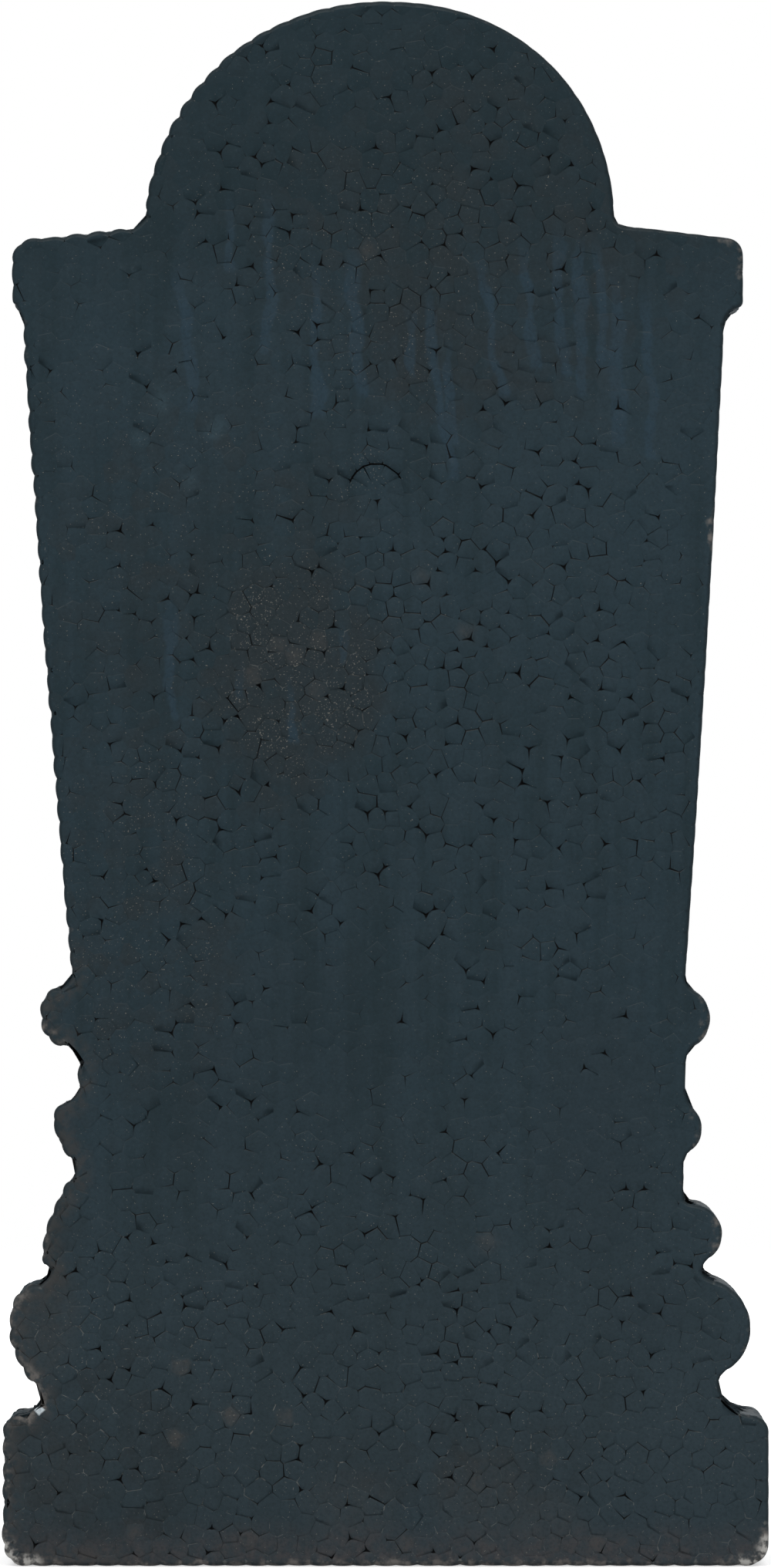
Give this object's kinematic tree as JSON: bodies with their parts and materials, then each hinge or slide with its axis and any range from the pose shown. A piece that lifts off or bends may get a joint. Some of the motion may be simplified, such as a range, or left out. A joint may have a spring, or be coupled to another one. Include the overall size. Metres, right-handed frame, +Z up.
{
  "type": "foam headstone decoration",
  "caption": "Moulded foam headstone decoration with a half-round arch over a cap, a plain tapering shaft, round rolls and a plinth, painted dark slate blue.",
  "frame": {"origin": "middle of the underside, halfway along the width and the depth of the plinth", "axes": "+Z up along the height, +X along the width to the right when the flat back is looked at, +Y from the flat back to the front"},
  "size_m": [0.221, 0.054, 0.45],
  "materials": {
    "painted_foam": "brushed and dribbled matt paint over moulded bead foam, worn at the edges"
  },
  "bodies": {
    "root": {"headstone": "painted_foam"}
  },
  "joints": []
}
